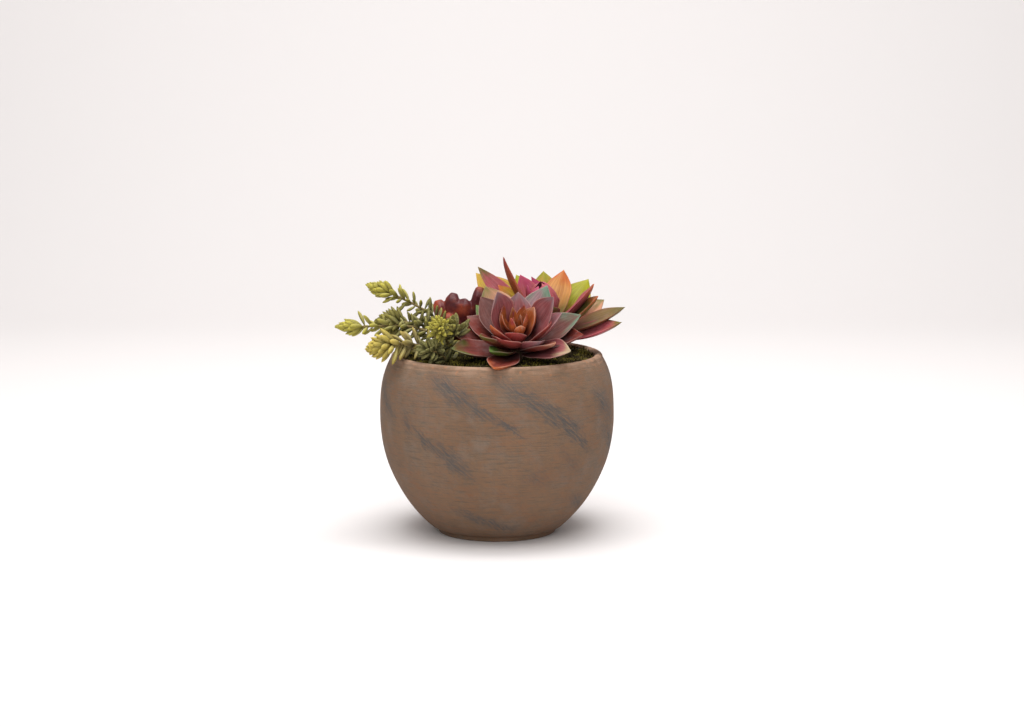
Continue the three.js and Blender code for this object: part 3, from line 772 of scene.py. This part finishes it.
plain = merged_node("red_succulent")
red_plant = finish_piece("red_succulent", plain, red_material, "red_leaf", "red_succulent")
plump = red_plant.modifiers.new("plump", "DISPLACE")
plump.strength = PLUMPING
plump.mid_level = 0
remesh = red_plant.modifiers.new("even_skin", "REMESH")
remesh.mode = "VOXEL"
remesh.voxel_size = SKIN_GRID
rounding = red_plant.modifiers.new("rounded", "SMOOTH")
rounding.factor = 0.5
rounding.iterations = 12
evaluated = red_plant.evaluated_get(bpy.context.evaluated_depsgraph_get())
rounded = bpy.data.meshes.new_from_object(evaluated)
red_plant.modifiers.clear()
red_plant.data = rounded
rounded.polygons.foreach_set("use_smooth", [True] * len(rounded.polygons))

# -------------------------------------------------------------------------------------- Sedum sprigs
# Thin arching stems set with small plump leaves that spiral round them and crowd into a head at the end.
# The heads are yellow-green and the older leaves lower down grey-green or tan, all with a mealy bloom.
# The lowest leaves, down among the stems, are painted almost black with shade, and each leaf darkens
# towards its base with painted shade.

SEDUM_LEAF_LENGTH, SEDUM_LEAF_WIDTH, SEDUM_LEAF_DEPTH = 12 * MM, 3.9 * MM, 2.7 * MM
SEDUM_STEM_RADIUS = 1.2 * MM
GOLDEN_TURN = math.radians(137.5)
MEAL, SEDUM_STEM = "#bab276", "#77653f"

# Sedum skin is dull under fine meal, which is palest on its ridges and edges.
sedum_material, tree, shader = new_material("mealy_sedum_leaf")
tint_and_shade = add(tree, "Attribute", attribute_name="tint_and_shade").outputs["Color"]
ridge = add(tree, "Attribute", attribute_name="ridge").outputs["Fac"]
place = add(tree, "TexCoord").outputs["Object"]
meal = add(tree, "TexNoise", {"Vector": place, "Scale": 1 / (0.9 * MM), "Detail": 4, "Roughness": 0.7})
meal_share = add(tree, "MapRange", {0: meal.outputs["Fac"], 1: 0.5, 2: 0.72, 3: 0, 4: 0.35})
ridge_share = add(tree, "Math", {0: ridge, 1: 0.42, 2: meal_share.outputs[0]}, operation="MULTIPLY_ADD")
sedum = blend(tree, ridge_share.outputs[0], tint_and_shade, MEAL)
tree.links.new(sedum, shader.inputs["Base Color"])
shader.inputs["Roughness"].default_value = 0.7
shader.inputs["Specular IOR Level"].default_value = 0.25
shader.inputs["Subsurface Weight"].default_value = 0.12
shader.inputs["Subsurface Radius"].default_value = (0.8, 1.0, 0.3)
shader.inputs["Subsurface Scale"].default_value = 2 * MM
meal_bump = add(tree, "Bump", {"Strength": 0.4, "Distance": 0.3 * MM, "Height": meal.outputs["Fac"]})
tree.links.new(meal_bump.outputs[0], shader.inputs["Normal"])

# One leaf, drawn from a ball: thickest past its middle, pointed, flatter above, with shallow ridges.
sedum_leaf = bmesh.new()
bmesh.ops.create_uvsphere(sedum_leaf, u_segments=12, v_segments=10, radius=1)
ridge_layer = sedum_leaf.verts.layers.float.new("ridge")
along_layer = sedum_leaf.verts.layers.float.new("along")
sedum_leaf.verts.layers.float_color.new("tint_and_shade")
sedum_leaf.verts.ensure_lookup_table()
for vert in sedum_leaf.verts:
    along = 1 - math.acos(max(-1, min(1, vert.co.z))) / math.pi
    ring = math.hypot(vert.co.x, vert.co.y)
    turn = math.atan2(vert.co.y, vert.co.x)
    margin = abs(math.cos(turn)) ** 3
    ridged = 0.5 + 0.5 * math.cos(5 * turn)
    fat = math.sin(math.pi * along**1.3) ** 0.62 * (0.9 + 0.1 * ridged)
    lift = 0.12 * SEDUM_LEAF_LENGTH * along**2
    if ring > 1e-4:
        vert.co.x = vert.co.x / ring * fat * SEDUM_LEAF_WIDTH / 2
        vert.co.y = vert.co.y / ring * fat * SEDUM_LEAF_DEPTH / 2 + lift
    else:
        vert.co.y = lift
    vert.co.z = along * SEDUM_LEAF_LENGTH
    vert[ridge_layer] = max(margin, 0.6 * ridged) * math.sin(math.pi * along)
    vert[along_layer] = along


def sprig_route(name):
    """The middle of a sprig's stem, from its root to the end of its head, read from its solid in slices."""
    mesh = merged_node(name)
    long_edges = [e for e in mesh.edges if e.calc_length() > 4 * MM]
    bmesh.ops.subdivide_edges(mesh, edges=long_edges, cuts=2)
    points = [v.co.copy() for v in mesh.verts]
    mesh.free()
    root = mean(sorted(points, key=lambda p: p.z)[:6])
    slices = {}
    for point in points:
        slices.setdefault(int((point - root).length / (8 * MM)), []).append(point)
    route = [root] + [mean(slices[i]) for i in sorted(slices) if len(slices[i]) > 5]
    for _ in range(2):
        inner = [(a + b * 2 + c) / 4 for a, b, c in zip(route, route[1:], route[2:])]
        route = [route[0]] + inner + [route[-1]]
    route.append(far_end(points, root, 5))
    return route


def along_route(route, distance):
    """(point, heading) at a distance along a route."""
    for a, b in zip(route, route[1:]):
        length = (b - a).length
        if distance <= length or b is route[-1]:
            return a.lerp(b, min(1, distance / length)), (b - a).normalized()
        distance -= length


def sprig_stem(name, route, stem_end):
    """A bmesh of a round stem that thins along its route."""
    curve = bpy.data.curves.new(name, "CURVE")
    curve.dimensions = "3D"
    curve.bevel_depth = SEDUM_STEM_RADIUS
    curve.bevel_resolution = 2
    curve.use_fill_caps = True
    spline = curve.splines.new("POLY")
    stations = steps_between(0, stem_end, 40)
    spline.points.add(len(stations) - 1)
    for place_on, point in zip(stations, spline.points):
        point.co = (*along_route(route, place_on)[0], 1)
        point.radius = 1.15 - 0.55 * place_on / stem_end
    holder = bpy.data.objects.new(name + "_stem", curve)
    bpy.context.scene.collection.objects.link(holder)
    stem = bpy.data.meshes.new_from_object(holder.evaluated_get(bpy.context.evaluated_depsgraph_get()))
    bpy.data.objects.remove(holder)
    mesh = bmesh.new()
    tint_layer = mesh.verts.layers.float_color.new("tint_and_shade")
    mesh.verts.layers.float.new("ridge")
    mesh.from_mesh(stem)
    for vert in mesh.verts:
        vert[tint_layer] = linear(SEDUM_STEM)
    return mesh


def sedum_sprig(name, spacing, head, tints, seed):
    """One sprig, leafy from the moss up. head gives its head's leaf count, length, leaf size and how far
    its outer leaves splay, and tints the painted shade given to its lowest leaves and its grown and young
    leaf colours."""
    head_leaves, head_length, head_size, head_splay = head
    low_shade, grown, young = (linear(c) for c in tints)
    rng = random.Random(seed)
    route = sprig_route(name)
    length = sum((b - a).length for a, b in zip(route, route[1:]))
    stem_end = length - 0.75 * SEDUM_LEAF_LENGTH
    mesh = sprig_stem(name, route, stem_end)
    # Where each leaf goes: its distance along the stem, its splay from it and its size.
    distance, places = 0, []
    head_start = stem_end - head_length
    while along_route(route, distance)[0].z < moss_crown - 2 * MM:
        distance += 1 * MM
    bare = distance / stem_end
    while distance < head_start:
        splay = math.radians(rng.uniform(40, 88))
        places.append((distance, splay, head_size * rng.uniform(0.75, 1.15)))
        distance += spacing * rng.uniform(0.6, 1.4)
    for i in range(head_leaves):
        share = i / (head_leaves - 1)
        splay = head_splay + (6 - head_splay) * share**0.8 + rng.uniform(-6, 6)
        size = head_size * (1.05 - 0.35 * share)
        places.append((head_start + head_length * share**0.8, math.radians(splay), size))
    leaf_data = bpy.data.meshes.new("leaf")
    sedum_leaf.to_mesh(leaf_data)
    leaf_along = [v[along_layer] for v in sedum_leaf.verts]
    for order, (place_on, splay, size) in enumerate(places):
        point, heading = along_route(route, place_on)
        side = heading.orthogonal().normalized()
        side = Matrix.Rotation(GOLDEN_TURN * order + rng.uniform(-0.25, 0.25), 3, heading) @ side
        pointing = heading * math.cos(splay) + side * math.sin(splay)
        inner = (heading - pointing * heading.dot(pointing)).normalized()
        turned_to = Matrix((pointing.cross(inner) * -1, inner, pointing)).transposed().to_4x4()
        if turned_to.determinant() < 0:
            turned_to.col[0] *= -1
        youth = smooth_share(place_on / stem_end, bare + 0.05, 0.95)
        body = mix(mix(low_shade, grown, min(1, youth * 1.6)), young, smooth_share(youth, 0.5, 1))
        shade = rng.uniform(0.72, 1.15)
        # Each leaf darkens towards its base with painted shade and turns to the young colour at its tip.
        tints = []
        for along in leaf_along:
            lit = mix(body, young, 0.45 * smooth_share(along, 0.5, 1))
            tints += [c * shade * (0.45 + 0.6 * along) for c in lit[:3]] + [1]
        leaf_data.attributes["tint_and_shade"].data.foreach_set("color", tints)
        add_copy(mesh, leaf_data, Matrix.Translation(point) @ turned_to @ Matrix.Scale(size, 4))
    bmesh.ops.recalc_face_normals(mesh, faces=mesh.faces)
    finish_piece(name, mesh, sedum_material, "sedum", name)


# SEDUM_SHADE is painted shade, the colour of the dark hollows down among the stems, given to the lowest
# leaves.
SEDUM_SHADE, GREY_GREEN, OLIVE_GREEN = "#2c2b12", "#585628", "#726a2c"
SEDUM_LIME, SEDUM_YELLOW, SEDUM_TAN = "#a09636", "#b09c42", "#967d4e"
sedum_sprig("sprig_upper_left", 1.5 * MM, (40, 14 * MM, 1.05, 52), (SEDUM_SHADE, GREY_GREEN, SEDUM_LIME), 1)
sedum_sprig("sprig_far_left", 1.7 * MM, (40, 14 * MM, 1.05, 48), (SEDUM_SHADE, GREY_GREEN, SEDUM_LIME), 2)
sedum_sprig("sprig_middle_left", 1.3 * MM, (60, 13 * MM, 1.1, 84), (SEDUM_SHADE, GREY_GREEN, OLIVE_GREEN), 3)
sedum_sprig("sprig_low_left", 1.5 * MM, (50, 12 * MM, 1.3, 66), (SEDUM_SHADE, SEDUM_TAN, SEDUM_YELLOW), 4)
sedum_sprig("sprig_facing", 1.5 * MM, (46, 10 * MM, 0.95, 84), (SEDUM_SHADE, OLIVE_GREEN, SEDUM_LIME), 5)
sedum_sprig("sprig_beside", 1.5 * MM, (26, 12 * MM, 1.3, 82), (SEDUM_SHADE, GREY_GREEN, OLIVE_GREEN), 6)
sedum_sprig("sprig_low_front", 1.2 * MM, (30, 12 * MM, 1.05, 80), (SEDUM_SHADE, SEDUM_SHADE, GREY_GREEN), 7)
sedum_leaf.free()

# ------------------------------------------------------------------------- Floor, lights and camera
# A pale paper sweep that curves up behind, a large soft light overhead, a weaker one in front, one on the
# paper behind, and even room light. The camera has a long lens and stands a little above the rim.

SWEEP_FRONT, SWEEP_BEND, SWEEP_TOP, SWEEP_WIDTH = -2.5, 1.2, 3.5, 7  # metres; the bend's radius is 1
PAPER, DAYLIGHT = "#d6d2d1", "#fffdfc"

sweep = bmesh.new()
bend = [(SWEEP_BEND + math.sin(a), 1 - math.cos(a)) for a in steps_between(0, math.pi / 2, 24)]
sweep_profile = [(SWEEP_FRONT, 0)] + bend + [(SWEEP_BEND + 1, SWEEP_TOP)]
rail = [sweep.verts.new((-SWEEP_WIDTH / 2, y, z)) for y, z in sweep_profile]
rail_edges = [sweep.edges.new(pair) for pair in zip(rail, rail[1:])]
pulled = bmesh.ops.extrude_edge_only(sweep, edges=rail_edges)
pulled_verts = [g for g in pulled["geom"] if isinstance(g, bmesh.types.BMVert)]
bmesh.ops.translate(sweep, vec=(SWEEP_WIDTH, 0, 0), verts=pulled_verts)
bmesh.ops.recalc_face_normals(sweep, faces=sweep.faces)
sweep_data = bpy.data.meshes.new("sweep")
sweep.to_mesh(sweep_data)
sweep.free()
sweep_data.polygons.foreach_set("use_smooth", [True] * len(sweep_data.polygons))
paper, tree, shader = new_material("pale_paper_sweep")
shader.inputs["Base Color"].default_value = linear(PAPER)
shader.inputs["Roughness"].default_value = 0.9
sweep_data.materials.append(paper)
floor = bpy.data.objects.new("sweep", sweep_data)
bpy.context.scene.collection.objects.link(floor)

world = bpy.data.worlds.new("room")
bpy.context.scene.world = world
world.use_nodes = True
room_light = world.node_tree.nodes["Background"]
room_light.inputs["Color"].default_value = linear(DAYLIGHT)
room_light.inputs["Strength"].default_value = 0.5


def softbox(name, place, aim, size, power):
    data = bpy.data.lights.new(name, "AREA")
    data.shape = "DISK"
    data.size = size
    data.energy = power
    lamp = bpy.data.objects.new(name, data)
    lamp.location = place
    lamp.rotation_euler = (Vector(aim) - Vector(place)).to_track_quat("-Z", "Y").to_euler()
    bpy.context.scene.collection.objects.link(lamp)


softbox("overhead_softbox", (0, -0.3, 1.5), (0, 0, 0.1), 1.5, 23)
softbox("front_softbox", (-0.1, -1.6, 0.9), (0, 0, 0.1), 1.0, 11)
softbox("backdrop_softbox", (0, 0.2, 1.9), (0, 2.2, 0.9), 1.4, 33)

camera_data = bpy.data.cameras.new("camera")
camera_data.lens = 82.6
camera_data.sensor_width = 36
camera = bpy.data.objects.new("camera", camera_data)
CAMERA_SIDE, CAMERA_AWAY, CAMERA_HEIGHT, AIM_HEIGHT = 11.5 * MM, 1776 * MM, 393.7 * MM, 129.7 * MM
camera.location = (CAMERA_SIDE, -CAMERA_AWAY, CAMERA_HEIGHT)
camera_target = Vector((CAMERA_SIDE, 0, AIM_HEIGHT))
camera.rotation_euler = (camera_target - camera.location).to_track_quat("-Z", "Y").to_euler()
bpy.context.scene.collection.objects.link(camera)
bpy.context.scene.camera = camera
bpy.context.scene.view_settings.view_transform = "Standard"
